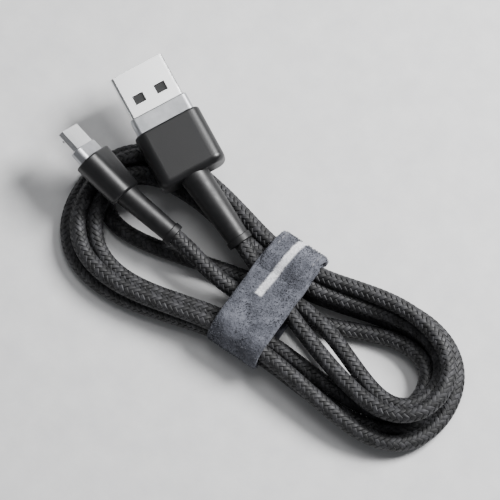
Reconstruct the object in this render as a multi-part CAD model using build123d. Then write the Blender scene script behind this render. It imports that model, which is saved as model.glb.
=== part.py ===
from build123d import *
import math
import os

# A braided charging cable with a USB-A plug and a micro plug, wound into a flat hank and
# tied round its waist with a hook-and-loop strap. Millimetres, +Z up, lying on Z = 0, with
# the hank's long axis along X and the middle of its footprint on the origin.

os.makedirs("parts", exist_ok=True)

fit_gap = 0.06

# Cable
cable_diameter = 3.5
cable_radius = cable_diameter / 2
core_diameter = 2.6
wire_diameter = 0.8

# Hank: the outermost turn's centre line, as a pinched oval
hank_waist_x = 3.95
hank_reach_right = 44.4
hank_reach_left = 48.2
hank_waist_upper = 5.6
hank_waist_lower = 14.1
hank_bulge = {
    ("right", "upper"): 14.6,
    ("right", "lower"): 14.6,
    ("left", "upper"): 14.6,
    ("left", "lower"): 23.8,
}
hank_lean = {"right": -1.6, "left": -2.0}
hank_fullness = {"right": 0.45, "left": 0.50}
hank_flare = 0.6
hank_points = 40
hank_height_left = 6.9
hank_height_waist = 8.1
hank_height_right = 9.8
hank_wall = 7.2
eye_waist_clear = 8.0
trough_gap = 0.15
# How the hank lifts off the floor to pass through the strap, and how its top slopes to each side
lift_foot = 9.5
lift_start = 7.5
hank_height_shoulder = 9.2
slope_right = 14.0
slope_left = 18.0
strap_end_gap = 0.6
hank_clear = 60.0

# Strap
strap_width = 12.0
strap_thickness = 1.2
strap_turn = 2.0
strap_centre = (3.6, -4.3)
strap_cavity_width = 23.2
strap_cavity_height = 7.4
strap_corner = 3.4
tail_length = 6.6
tail_gap = 0.15
tail_narrowing = 1.0
tail_rounding = (1.5, 0.3)
hook_thickness = 0.5
hook_margin = 0.65
stitch_diameter = 0.35
stitch_pitch = 1.5
stitch_length = 1.05
stitch_margin = 1.2
stitch_edge = 1.0

# USB-A plug, along its own +X from the casing's front face
usb_at = (-34.5, 12.3, 11.9)
usb_heading = 155.0
usb_pitch = 3.2
usb_roll = -6.0
usb_shell = (12.0, 4.5)
usb_shell_wall = 0.3
usb_shell_corner = 0.65
usb_shell_length = 13.4
usb_shell_buried = 5.0
usb_window = (2.4, 2.0)
usb_window_x = 7.1
usb_window_spacing = 5.0
usb_collar = (13.0, 5.4)
usb_collar_length = 3.8
collar_rounding = 0.3
usb_tongue_thickness = 1.9
usb_tongue_reach = 12.6
usb_tongue_rounding = 0.4
usb_contact = (8.4, 1.0, 0.25)
usb_contact_y = (-3.5, -1.0, 1.0, 3.5)
usb_tail = (2.6, 0.6)
usb_casing = (12.6, 14.8, 7.8)
usb_casing_corner = 2.5
usb_casing_wall = 0.9
usb_casing_rounding = (1.4, 0.5)
usb_can_length = 9.0
usb_wire_gather = 0.8
usb_exit = (-7.6, 2.2, 7.7)
usb_relief_root = 6.3
usb_relief_end = 4.9

# Micro plug, along its own +X from the casing's front face
micro_at = (-42.6, -2.6, 11.6)
micro_heading = 170.0
micro_pitch = 7.5
micro_roll = 50.0
micro_shell = (6.85, 1.8)
micro_shell_narrow = 5.3
keyed_step = 0.35
micro_shell_wall = 0.25
micro_shell_length = 7.6
micro_shell_buried = 3.0
micro_collar = (8.0, 3.0)
micro_collar_length = 2.9
micro_collar_corner = 1.2
micro_insulator = (3.0, 0.62)
micro_contact = (3.6, 0.35, 0.15)
micro_contact_pitch = 0.65
micro_tail = 1.2
micro_wire_diameter = 0.5
micro_wire_length = 2.2
micro_wire_overlap = 0.8
micro_insulator_setback = 0.5
micro_casing_length = 10.5
micro_casing_front = (9.4, 6.0)
micro_casing_rear = (7.6, 5.8)
micro_casing_corner = 2.5
micro_casing_wall = 0.9
micro_casing_rounding = (0.7, 0.4)
micro_hollow_corner = 1.3
micro_mould_length = 6.3
micro_mould_rear = (6.3, 3.9)
micro_mould_front_height = 4.1
micro_wire_pocket = (5.7, 3.6, 1.7)
micro_wire_clearance = 0.75
micro_exit = (-19.4, -4.9, 7.8)
micro_relief_root = 4.9
micro_relief_end = 4.3
latch_y = 1.95
latch_width = 0.7
latch_side_gap = 0.15
latch_pivot_x = 3.4
latch_root_length = 0.3
latch_arm = (-0.50, 0.18)
latch_hook_x = (5.75, 6.45)
latch_hook_drop = 0.45
latch_slopes = (0.10, 0.15)
latch_window = (5.45, 6.95)
latch_end_x = 6.7

# What both plugs share
contact_setback = 1.0
ring_length = 1.5
ring_lip = 0.3
crimp_length = 1.8
neck_length = 1.6
ring_run = 2.5
crimp_wall = 0.35
braid_grip = 4.0
wire_length = 2.4
wire_overlap = 1.6

# Each lead's points after it leaves its strain relief, down to where it goes under the strap
usb_lead_points = [(0.6, -1.0, 6.3)]
micro_lead_points = [(-11.4, -6.0, 6.6), (-6.0, -6.9, 5.8), (-0.8, -7.2, 4.7)]


def section_bar(start, length, width, height, corner):
    """A bar with rounded long edges, along +X from start."""
    face = Plane.YZ.offset(start) * RectangleRounded(width, height, corner)
    return extrude(face, length)


def plain_bar(start, length, width, height, y=0.0, z=0.0):
    """A square-edged bar along +X from start, centred on y and z."""
    return Pos(start + length / 2, y, z) * Box(length, width, height)


def rod(start, length, diameter, y=0.0, z=0.0):
    """A round rod along +X from start."""
    return extrude(Plane.YZ.offset(start) * Pos(y, z) * Circle(diameter / 2), length)


def cone(start, length, first, last):
    """A round taper along +X, first and last being its diameters."""
    return loft([
        Plane.YZ.offset(start) * Circle(first / 2),
        Plane.YZ.offset(start + length) * Circle(last / 2),
    ])


def placing(at, heading, pitch, roll):
    """The place of a plug that points along heading, nose up by pitch, rolled about itself."""
    return Pos(*at) * Rot(0, 0, heading) * Rot(0, -pitch, 0) * Rot(roll, 0, 0)


def keyed_section(start, length, width, narrow, height):
    """The micro plug's section: flat on top, with its two lower corners cut off."""
    half = width / 2
    low = narrow / 2
    top = height / 2
    step = height * keyed_step
    outline = Polyline(
        (-half, top),
        (half, top),
        (half, -top + step),
        (low, -top),
        (-low, -top),
        (-half, -top + step),
        close=True,
    )
    return extrude(Plane.YZ.offset(start) * make_face(outline), length)


def turn_point(angle, inset):
    """A point of a turn at angle degrees (0 right end, 90 upper waist), inset inwards."""
    across = math.cos(math.radians(angle))
    up = math.sin(math.radians(angle))
    side = "right" if across >= 0 else "left"
    level = "upper" if up >= 0 else "lower"
    reach = (hank_reach_right if across >= 0 else hank_reach_left) - inset
    waist = hank_waist_upper if up >= 0 else hank_waist_lower
    ramp = min(1.0, abs(across) / hank_flare)
    swell = ramp * ramp * (3 - 2 * ramp)
    half = waist + (hank_bulge[side, level] - waist) * swell - inset
    y = half * math.copysign(abs(up) ** hank_fullness[side], up)
    return (hank_waist_x + reach * across, y + hank_lean[side] * across * across)


def hank_outline(inset):
    """The closed outline of the wound turns, inset from the outermost centre line."""
    step = 360 / hank_points
    points = [turn_point(step * (count + 0.5), inset) for count in range(hank_points)]
    return make_face(Spline(points, periodic=True))


def toward(start, end, distance):
    """The point that lies distance along the line from start to end."""
    length = math.dist(start, end)
    return tuple(a + (b - a) * distance / length for a, b in zip(start, end))


def aimed(at, target):
    """The frame at a point whose +X looks away from target."""
    run = [a - b for a, b in zip(at, target)]
    heading = math.degrees(math.atan2(run[1], run[0]))
    pitch = math.degrees(math.atan2(run[2], math.hypot(run[0], run[1])))
    return placing(at, heading, pitch, 0)


def corner_radii(points):
    """The largest tangent arc that each inner corner of a route has room for."""
    radii = []
    for before, here, after in zip(points, points[1:], points[2:]):
        arriving = Vector(*here) - Vector(*before)
        leaving = Vector(*after) - Vector(*here)
        half_turn = math.radians(arriving.get_angle(leaving)) / 2
        radii.append(0.45 * min(arriving.length, leaving.length) / math.tan(half_turn))
    return radii


def lead_tube(name, points):
    """The plain cable along straight runs joined by tangent arcs."""
    radii = corner_radii(points)
    path = FilletPolyline(*points, radius=radii)
    start = Plane(origin=points[0], z_dir=Vector(*points[1]) - Vector(*points[0]))
    tube = sweep(start * Circle(cable_radius), path=path)
    expected = math.pi * cable_radius ** 2 * path.length
    print(name, "radii", [round(radius, 1) for radius in radii])
    print(name, "length", round(path.length, 1), "volume ratio", round(tube.volume / expected, 4))
    return tube


def usb_plug(place, rear):
    """The USB-A plug's pieces; rear is its strain relief's frame at the casing's back."""
    width, height = usb_shell
    wall = usb_shell_wall
    full = usb_shell_length + usb_shell_buried
    inner_width = width - 2 * wall
    inner_height = height - 2 * wall
    outside = section_bar(-usb_shell_buried, full, width, height, usb_shell_corner)
    inside = section_bar(-usb_shell_buried, full, inner_width, inner_height, usb_shell_corner - wall)
    shell = outside - inside
    for across in (-usb_window_spacing / 2, usb_window_spacing / 2):
        window = Pos(usb_window_x, across, 0) * Box(usb_window[1], usb_window[0], height + 1)
        shell -= window

    tongue_top = inner_height / 2 - fit_gap
    tongue_low = tongue_top - usb_tongue_thickness
    tongue_mid = tongue_top - usb_tongue_thickness / 2
    tongue_width = inner_width - 2 * fit_gap
    tongue_length = usb_tongue_reach + usb_shell_buried
    tongue = plain_bar(-usb_shell_buried, tongue_length, tongue_width, usb_tongue_thickness, 0, tongue_mid)
    tongue = fillet(tongue.edges().filter_by(Axis.X), usb_tongue_rounding)

    contact_length, contact_width, contact_thickness = usb_contact
    contact_start = usb_tongue_reach - contact_setback - contact_length
    contact_z = tongue_low - contact_thickness / 2
    tail_length, tail_width = usb_tail
    tail_end = -usb_shell_buried - tail_length
    contacts = []
    wires = []
    for across in usb_contact_y:
        blade = plain_bar(contact_start, contact_length, contact_width, contact_thickness, across, contact_z)
        spring_length = contact_start - tail_end
        spring = plain_bar(tail_end, spring_length, tail_width, contact_thickness, across, contact_z)
        contacts.append(blade + spring)
        wire_z = contact_z - contact_thickness / 2 - wire_diameter / 2
        wire_start = tail_end - wire_length + wire_overlap
        wires.append(rod(wire_start, wire_length, wire_diameter, across * usb_wire_gather, wire_z))

    can_width = width + 2 * (wall + fit_gap)
    can_height = height + 2 * (wall + fit_gap)
    can_corner = usb_shell_corner + wall
    can = section_bar(-usb_can_length, usb_can_length, can_width, can_height, can_corner)
    can -= section_bar(-usb_can_length + wall, usb_can_length, can_width - 2 * wall,
                       can_height - 2 * wall, can_corner - wall)
    can -= rod(-usb_can_length - 1, 3, core_diameter + 4 * fit_gap)

    collar_width, collar_height = usb_collar
    collar = section_bar(0, usb_collar_length, collar_width, collar_height, can_corner + collar_rounding / 2)
    collar = fillet(collar.edges().group_by(Axis.X)[-1], collar_rounding)
    collar -= section_bar(-1, usb_collar_length + 2, width + 2 * fit_gap, height + 2 * fit_gap,
                          usb_shell_corner + fit_gap)

    length, casing_width, casing_height = usb_casing
    body = section_bar(-length, length, casing_width, casing_height, usb_casing_corner)
    body = fillet(body.edges().group_by(Axis.X)[0], usb_casing_rounding[0])
    body = fillet(body.edges().group_by(Axis.X)[-1], usb_casing_rounding[1])
    hollow = section_bar(-length + usb_casing_wall, length, casing_width - 2 * usb_casing_wall,
                         casing_height - 2 * usb_casing_wall, usb_casing_corner - usb_casing_wall)
    relief_neck = rod(-2, 6, usb_relief_root + 0.02)
    casing = place * (body - hollow) - rear * relief_neck

    relief, ring, crimp, core = strain_relief(rear, usb_exit, usb_relief_root, usb_relief_end)
    mould = section_bar(-length + usb_casing_wall, length - usb_casing_wall,
                        casing_width - 2 * usb_casing_wall, casing_height - 2 * usb_casing_wall,
                        usb_casing_corner - usb_casing_wall)
    mould -= section_bar(-usb_can_length, usb_can_length + 1, can_width, can_height, can_corner)
    mould = place * mould - rear * relief_neck
    return {
        "usb_a_shell": place * shell,
        "usb_a_tongue": place * tongue,
        "usb_a_contacts": place * Compound(children=contacts),
        "usb_a_wire_ends": place * Compound(children=wires),
        "usb_a_rear_shield": place * can - core,
        "usb_a_collar": place * collar,
        "usb_a_inner_mould": mould,
        "usb_a_casing": casing,
        "usb_a_strain_relief": relief,
        "usb_a_end_ring": ring,
        "usb_a_crimp_ring": crimp,
        "usb_a_cable_core": core,
    }


def strain_relief(rear, exit_point, root, end):
    """A strain relief with its end ring, and the crimp and cable core inside it."""
    length = math.dist(tuple(rear.position), exit_point)
    sleeve = cone(-length + ring_length, length - ring_length, end, root)
    sleeve += rod(0, neck_length, root)
    sleeve -= rod(-length, braid_grip, cable_diameter)
    sleeve -= rod(-length, length + 3, core_diameter)
    ring = rod(-length, ring_length, end + 2 * ring_lip)
    ring = fillet(ring.edges(), 0.2)
    ring -= rod(-length - 1, ring_length + 2, cable_diameter)
    crimp = rod(neck_length, crimp_length, core_diameter + 2 * crimp_wall)
    crimp -= rod(neck_length - 1, crimp_length + 2, core_diameter)
    core = rod(-length + braid_grip, length - braid_grip + neck_length + crimp_length, core_diameter)
    return rear * sleeve, rear * ring, rear * crimp, rear * core


def latch(side, shell_low):
    """One sprung hook of the micro plug: a root, a thin arm and a sloped hook."""
    arm_z, thickness = latch_arm
    across = side * latch_y
    root_start = latch_pivot_x - latch_root_length
    arm = plain_bar(root_start, latch_end_x - root_start, latch_width, thickness, across, arm_z)
    first, last = latch_hook_x
    low = shell_low - latch_hook_drop
    top = arm_z - thickness / 2
    front_foot = (first + latch_slopes[0], low)
    rear_foot = (last - latch_slopes[1], low)
    profile = Polyline((first, top), (last, top), rear_foot, front_foot, close=True)
    hook = extrude(Plane.XZ.offset(-across - latch_width / 2) * make_face(profile), latch_width)
    return arm + hook


def micro_plug(place, rear):
    """The micro plug's pieces; rear is its strain relief's frame at the casing's back."""
    width, height = micro_shell
    wall = micro_shell_wall
    start = -micro_shell_buried
    full = micro_shell_length + micro_shell_buried
    inner_width = width - 2 * wall
    inner_narrow = micro_shell_narrow - 2 * wall
    inner_height = height - 2 * wall
    outside = keyed_section(start, full, width, micro_shell_narrow, height)
    shell = outside - keyed_section(start, full, inner_width, inner_narrow, inner_height)
    window_length = latch_window[1] - latch_window[0]
    for side in (-1, 1):
        window_width = latch_width + 2 * latch_side_gap
        shell -= plain_bar(latch_window[0], window_length, window_width, 1, side * latch_y, -height / 2)

    insulator_width, insulator_thickness = micro_insulator
    insulator_z = inner_height / 2 - fit_gap - insulator_thickness / 2
    insulator_length = full - micro_insulator_setback
    insulator = plain_bar(start, insulator_length, insulator_width, insulator_thickness, 0, insulator_z)
    contact_length, contact_width, contact_thickness = micro_contact
    contact_start = micro_shell_length - contact_setback - contact_length
    contact_z = insulator_z - insulator_thickness / 2 - contact_thickness / 2
    contacts = []
    wires = []
    for place_number in range(-2, 3):
        across = place_number * micro_contact_pitch
        blade_start = start - micro_tail
        blade_length = contact_start + contact_length - blade_start
        wire_z = contact_z - contact_thickness / 2 - micro_wire_diameter / 2
        wire_start = blade_start + micro_wire_overlap - micro_wire_length
        blade = plain_bar(blade_start, blade_length, contact_width, contact_thickness, across, contact_z)
        contacts.append(blade)
        wires.append(rod(wire_start, micro_wire_length, micro_wire_diameter, across, wire_z))

    collar_width, collar_height = micro_collar
    collar = section_bar(0, micro_collar_length, collar_width, collar_height, micro_collar_corner)
    collar = fillet(collar.edges().group_by(Axis.X)[-1], collar_rounding)
    collar -= section_bar(-1, micro_collar_length + 2, width + 2 * fit_gap, height + 2 * fit_gap,
                          micro_shell_wall)

    front_width, front_height = micro_casing_front
    rear_width, rear_height = micro_casing_rear
    body = loft([
        Plane.YZ.offset(-micro_casing_length)
        * RectangleRounded(rear_width, rear_height, micro_casing_corner),
        Plane.YZ * RectangleRounded(front_width, front_height, micro_casing_corner),
    ])
    body = fillet(body.edges().group_by(Axis.X)[0], micro_casing_rounding[0])
    body = fillet(body.edges().group_by(Axis.X)[-1], micro_casing_rounding[1])
    double_wall = 2 * micro_casing_wall
    hollow = loft([
        Plane.YZ.offset(-micro_casing_length + micro_casing_wall)
        * RectangleRounded(rear_width - double_wall, rear_height - double_wall, micro_hollow_corner),
        Plane.YZ
        * RectangleRounded(front_width - double_wall, front_height - double_wall, micro_hollow_corner),
    ])
    relief_neck = rod(-2, 6, micro_relief_root + 0.02)
    casing = place * (body - hollow) - rear * relief_neck

    relief, ring, crimp, core = strain_relief(rear, micro_exit, micro_relief_root, micro_relief_end)
    mould_front = front_width - double_wall - fit_gap
    mould = loft([
        Plane.YZ.offset(-micro_mould_length) * RectangleRounded(*micro_mould_rear, micro_collar_corner),
        Plane.YZ * RectangleRounded(mould_front, micro_mould_front_height, micro_collar_corner),
    ])
    mould -= plain_bar(start, micro_shell_buried + 1, width + fit_gap, height + fit_gap)
    pocket_length, pocket_width, pocket_height = micro_wire_pocket
    pocket_z = contact_z - pocket_height / 2 + micro_wire_clearance
    pocket = plain_bar(-pocket_length, pocket_length, pocket_width, pocket_height, 0, pocket_z)
    mould = place * (mould - pocket)
    pieces = {
        "micro_shell": place * shell,
        "micro_insulator": place * insulator,
        "micro_contacts": place * Compound(children=contacts),
        "micro_wire_ends": place * Compound(children=wires),
        "micro_collar": place * collar,
        "micro_inner_mould": mould,
        "micro_casing": casing,
        "micro_strain_relief": relief,
        "micro_end_ring": ring,
        "micro_crimp_ring": crimp,
        "micro_cable_core": core,
    }
    for side, name in ((1, "micro_latch_left"), (-1, "micro_latch_right")):
        pieces[name] = place * latch(side, -height / 2)
    return pieces


def strap_section(grow, length=strap_width):
    """A bar with the strap's closed outline, grown outwards from its cavity."""
    width = strap_cavity_width + 2 * grow
    height = strap_cavity_height + 2 * grow
    centre_z = strap_thickness + strap_cavity_height / 2
    return Pos(0, 0, centre_z) * section_bar(-length / 2, length, width, height, strap_corner + grow)


def strap_pieces(place):
    """The band, its closing end down the upper side, the hook side under it and its stitches."""
    band = strap_section(strap_thickness) - strap_section(0)
    side = strap_cavity_width / 2 + strap_thickness
    centre_z = strap_thickness + strap_cavity_height / 2
    hook_y = side + tail_gap + hook_thickness / 2
    tail_y = side + tail_gap + hook_thickness + strap_thickness / 2
    width = strap_width - tail_narrowing
    tail = Pos(0, tail_y, centre_z) * Box(width, strap_thickness, tail_length)
    tail = fillet(tail.edges().filter_by(Axis.Y), tail_rounding[0])
    tail = fillet(tail.edges().group_by(Axis.Y)[-1], tail_rounding[1])
    hook_width = width - 2 * hook_margin
    hook = Pos(0, hook_y, centre_z) * Box(hook_width, hook_thickness, tail_length - 2 * hook_margin)
    stitches = []
    stitch_count = int((width - 2 * stitch_margin) / stitch_pitch) + 1
    first = -(stitch_count - 1) * stitch_pitch / 2
    for row in (-1, 1):
        for count in range(stitch_count):
            at = Pos(first + count * stitch_pitch, side + tail_gap + hook_thickness + strap_thickness,
                     centre_z + row * (tail_length / 2 - stitch_edge))
            stitches.append(at * Rot(0, 90, 0) * Cylinder(stitch_diameter / 2, stitch_length))
    thread = Compound(children=stitches)
    return {
        "strap_wrap": place * band,
        "strap_tail": place * (tail - thread),
        "strap_hook_patch": place * hook,
        "strap_stitches": place * thread,
    }


def hank(strap_place):
    """The wound turns as one closed solid, with its two eyes, pinched under the strap."""
    side = hank_clear
    lift = strap_thickness + fit_gap
    profile = Polyline(
        (-side, 0),
        (hank_waist_x - lift_foot, 0),
        (hank_waist_x - lift_start, lift),
        (hank_waist_x + lift_start, lift),
        (hank_waist_x + lift_foot, 0),
        (side, 0),
        (side, hank_height_right),
        (hank_waist_x + slope_right, hank_height_shoulder),
        (hank_waist_x + lift_start, hank_height_waist),
        (hank_waist_x - lift_start, hank_height_waist),
        (hank_waist_x - slope_left, hank_height_left),
        (-side, hank_height_left),
        close=True,
    )
    block = extrude(Plane.XZ.offset(-side) * make_face(profile), 2 * side)
    outer = extrude(hank_outline(-cable_radius), side)
    eyes = extrude(hank_outline(hank_wall - cable_radius), side)
    waist = Pos(hank_waist_x, 0, 0) * Box(2 * eye_waist_clear, 2 * side, 2 * side)
    body = (outer & block) - (eyes - waist)
    held_length = strap_width + 2 * strap_end_gap
    around = strap_place * (Box(held_length, side, side) - strap_section(-fit_gap, held_length))
    return body - around


usb_place = placing(usb_at, usb_heading, usb_pitch, usb_roll)
micro_place = placing(micro_at, micro_heading, micro_pitch, micro_roll)
usb_back = tuple((usb_place * Pos(-usb_casing[0], 0, 0)).position)
micro_back = tuple((micro_place * Pos(-micro_casing_length, 0, 0)).position)
strap_place = Pos(*strap_centre, 0) * Rot(0, 0, strap_turn)

usb_rear = aimed(usb_back, usb_exit)
micro_rear = aimed(micro_back, micro_exit)

usb_route = [toward(usb_exit, usb_back, braid_grip), toward(usb_exit, usb_back, -ring_run)]
usb_route += usb_lead_points
micro_route = [toward(micro_exit, micro_back, braid_grip), toward(micro_exit, micro_back, -ring_run)]
micro_route += micro_lead_points
usb_lead = lead_tube("cable_lead_usb_a", usb_route)
micro_lead = lead_tube("cable_lead_micro", micro_route)

troughs = []
for rear, back, leaving, width in (
    (usb_rear, usb_back, usb_exit, usb_relief_end),
    (micro_rear, micro_back, micro_exit, micro_relief_end),
):
    length = math.dist(back, leaving)
    troughs.append(rear * rod(-length - trough_gap, length, width + 2 * (ring_lip + trough_gap)))

pieces = {}
pieces.update(usb_plug(usb_place, usb_rear))
pieces.update(micro_plug(micro_place, micro_rear))
pieces.update(strap_pieces(strap_place))
pieces["cable_lead_usb_a"] = usb_lead
pieces["cable_lead_micro"] = micro_lead
pieces["cable_hank"] = hank(strap_place) - usb_lead - micro_lead - troughs

for name, piece in pieces.items():
    export_step(piece, os.path.join("parts", name + ".step"))
boxes = [piece.bounding_box() for piece in pieces.values()]
print("low", [round(min(tuple(box.min)[axis] for box in boxes), 2) for axis in range(3)])
print("high", [round(max(tuple(box.max)[axis] for box in boxes), 2) for axis in range(3)])
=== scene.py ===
import math

import bpy
import numpy as np
from mathutils import Matrix, Vector


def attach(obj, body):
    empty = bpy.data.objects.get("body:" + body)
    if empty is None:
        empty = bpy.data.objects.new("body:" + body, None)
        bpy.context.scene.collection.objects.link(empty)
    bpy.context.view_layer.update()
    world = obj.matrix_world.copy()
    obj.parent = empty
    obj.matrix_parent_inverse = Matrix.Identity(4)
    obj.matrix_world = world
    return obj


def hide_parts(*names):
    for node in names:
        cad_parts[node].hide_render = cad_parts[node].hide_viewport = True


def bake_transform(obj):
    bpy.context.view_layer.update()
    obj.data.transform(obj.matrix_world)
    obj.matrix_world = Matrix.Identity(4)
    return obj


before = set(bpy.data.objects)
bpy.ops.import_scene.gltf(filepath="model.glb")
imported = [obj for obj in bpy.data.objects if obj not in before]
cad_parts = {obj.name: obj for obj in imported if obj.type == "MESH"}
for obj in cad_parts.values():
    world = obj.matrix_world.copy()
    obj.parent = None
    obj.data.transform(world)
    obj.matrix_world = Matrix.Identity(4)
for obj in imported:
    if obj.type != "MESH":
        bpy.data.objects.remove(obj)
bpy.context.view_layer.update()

# The looks of a braided charging cable, wound into a flat hank and tied at its waist with a
# hook-and-loop strap. Shapes are worked out in millimetres, in the frame of the CAD model, and
# become metres when they are put into a mesh.

MM = 0.001

# ---------------------------------------------------------------- sizes shared with the CAD model

cable_diameter = 3.5
strap_centre = np.array([3.6, -4.3])
strap_turn = math.radians(2.0)
strap_width = 12.0
strap_thickness = 1.2
strap_cavity = (23.2, 7.4)
strap_corner = 3.4
tail_width = 11.0
tail_bottom = 1.6
tail_stand_off = 0.65
tail_start = 5.2
tail_rise = 5.6
tail_corner = 1.8
stitch_margin = 1.2
stitch_pitch = 1.5
stitch_length = 1.05
stitch_radius = 0.17

# The strap's printed stripe: its middle and width across the strap, how far it leans per millimetre
# along it, and where it starts and ends, counted from the middle of the strap's top
print_middle = -1.45
print_width = 1.6
print_lean = 0.07
print_start = -0.8
print_end = 40.0
print_covered = 5.6   # the loose end hides the wrap's stripe from here on
unprinted = -30.0     # a place outside the print, for faces that carry none
pile_parting = 0.75   # half the width that the pile leaves open over the stripe
pile_parting_start = -0.9
pile_edge = 0.35      # the rounded edge of the cloth, and how far its pile sits below the face
pile_edge_drop = 0.25

# Where the cable leaves each strain relief, and the points it passes on its way into the hank
usb_route = [(-11.34, 3.35, 8.54), (-5.26, 1.48, 7.17), (0.6, -1.0, 6.3)]
micro_route = [
    (-0.8, -7.2, 4.7), (-6.0, -6.9, 5.8), (-11.4, -6.0, 6.6), (-16.95, -4.99, 7.34),
    (-23.33, -4.75, 8.54),
]

# ---------------------------------------------------------------- the hank's turns

# Outermost turn, a pinched oval: its waist, how far it reaches, how it swells and leans
waist_x = 3.95
reach = {"right": 42.0, "left": 46.3}
waist = {"upper": 5.6, "lower": 14.1}
bulge = {
    ("right", "upper"): 15.7, ("right", "lower"): 15.8,
    ("left", "upper"): 14.6, ("left", "lower"): 23.4,
}
lean = {"right": -1.5, "left": -3.2}
fullness = {"right": 0.48, "left": 0.52}
flare = 0.6
inset_at_end = 5.0    # an inset turn draws its ends in by this much at most
points_per_turn = 36

# How the winder laid each turn: quarter turns done (0 under the strap on the lower side, 1 at the
# right end, 2 under the strap on the upper side, 3 at the left end), inset, height
lay = [
    (0.0, 10.6, 6.3), (0.35, 7.6, 8.2), (0.7, 5.0, 8.8), (1.0, 0.9, 8.6), (1.5, 2.2, 7.6),
    (2.0, 1.2, 6.6), (2.5, 1.5, 5.2), (3.0, 1.8, 5.2), (3.5, 1.5, 5.2), (4.0, 1.2, 6.6),
    (4.5, 0.0, 2.2), (5.0, 0.0, 1.75), (5.5, 0.0, 2.2), (6.0, 0.4, 3.4),
    (7.0, 0.0, 1.75), (8.0, 0.0, 3.4),
    (9.0, 3.2, 1.75), (10.0, 3.6, 3.1), (10.4, 6.0, 1.9),
    (10.75, 5.2, 1.75), (10.9, 6.0, 1.75), (11.0, 10.5, 1.75), (11.08, 15.6, 1.75),
    (11.25, 12.9, 1.75), (11.36, 12.8, 1.75), (11.5, 15.2, 2.0), (11.7, 16.9, 2.6),
    (11.85, 13.6, 3.2), (12.0, 13.4, 4.4),
    (12.25, 13.4, 5.7), (12.6, 7.4, 5.2), (12.8, 6.2, 5.2), (13.0, 3.2, 5.1), (13.5, 2.6, 5.2),
    (14.0, 3.9, 6.0), (14.2, 5.5, 4.6), (14.4, 7.8, 3.6), (14.7, 6.2, 3.6),
    (15.0, 5.4, 5.1), (16.0, 3.6, 3.1), (16.75, 4.6, 4.6),
    (17.0, 3.4, 5.1), (17.25, 4.4, 4.2), (17.5, 6.4, 3.2), (18.0, 12.0, 3.0),
]


def eased(t):
    """0 to 1 with a level start and end."""
    t = np.clip(t, 0, 1)
    return t * t * (3 - 2 * t)


def turn_points(turn, inset):
    """Plan of a turn: an oval whose half width eases from its waist to its bulge, moved inwards by
    inset."""
    angle = np.radians(90 * turn - 90)
    across, up = np.cos(angle), np.sin(angle)
    right, upper = across >= 0, up >= 0

    def by_end(values):
        return np.where(right, values["right"], values["left"])

    narrow = np.where(upper, waist["upper"], waist["lower"])
    wide = np.where(
        right,
        np.where(upper, bulge["right", "upper"], bulge["right", "lower"]),
        np.where(upper, bulge["left", "upper"], bulge["left", "lower"]),
    )
    swell = eased(np.abs(across) / flare)
    half = narrow + (wide - narrow) * swell - inset
    x = waist_x + (by_end(reach) - np.minimum(inset, inset_at_end) * swell) * across
    y = half * np.sign(up) * np.abs(up) ** by_end(fullness) + by_end(lean) * across * across
    return x, y


def laid_turns():
    """The turns as they were planned: inset and height run through the lay's rows on a cubic."""
    rows = np.array(lay)
    turn = np.arange(0, rows[-1, 0] + 1e-9, 4 / points_per_turn)
    row = np.clip(np.searchsorted(rows[:, 0], turn, side="right") - 1, 0, len(rows) - 2)
    span = (rows[row + 1, 0] - rows[row, 0])[:, None]
    f = (turn - rows[row, 0])[:, None] / span
    value = rows[:, 1:]
    slope = np.zeros_like(value)
    slope[1:-1] = (value[2:] - value[:-2]) / (rows[2:, 0] - rows[:-2, 0])[:, None]
    run = (
        (2 * f**3 - 3 * f**2 + 1) * value[row] + (f**3 - 2 * f**2 + f) * span * slope[row]
        + (3 * f**2 - 2 * f**3) * value[row + 1] + (f**3 - f**2) * span * slope[row + 1]
    )
    x, y = turn_points(turn, run[:, 0])
    return np.stack([x, y, run[:, 1]], 1)


def spline_weights(count, per_span=4):
    """How much each control point counts in each sample of a smooth spline of order 3."""
    t = np.arange((count - 2) * per_span + 1) / per_span
    span = np.minimum(t.astype(int), count - 3)
    u = t - span
    weights = np.zeros((len(t), count))
    sample = np.arange(len(t))
    weights[sample, span] = 0.5 * (1 - u) ** 2
    weights[sample, span + 1] = 0.5 + u - u * u
    weights[sample, span + 2] = 0.5 * u * u
    return weights


# How the turns settle against each other
settle_steps = 240
own_neighbours = 3.2              # samples nearer than this many diameters along the cable are one
                                  # pass, and don't push each other
crowd_share = 0.5                 # how much each further neighbour shares out a push
strap_margin = 1.0                # the strap holds the cable this far beyond its own edges
floor_gap = 0.03
pull_back = (0.03, 0.03, 0.0045)  # share of the way back to where it was laid, per step
bend_smoothing = 0.35
sink_per_step = 0.01


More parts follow.
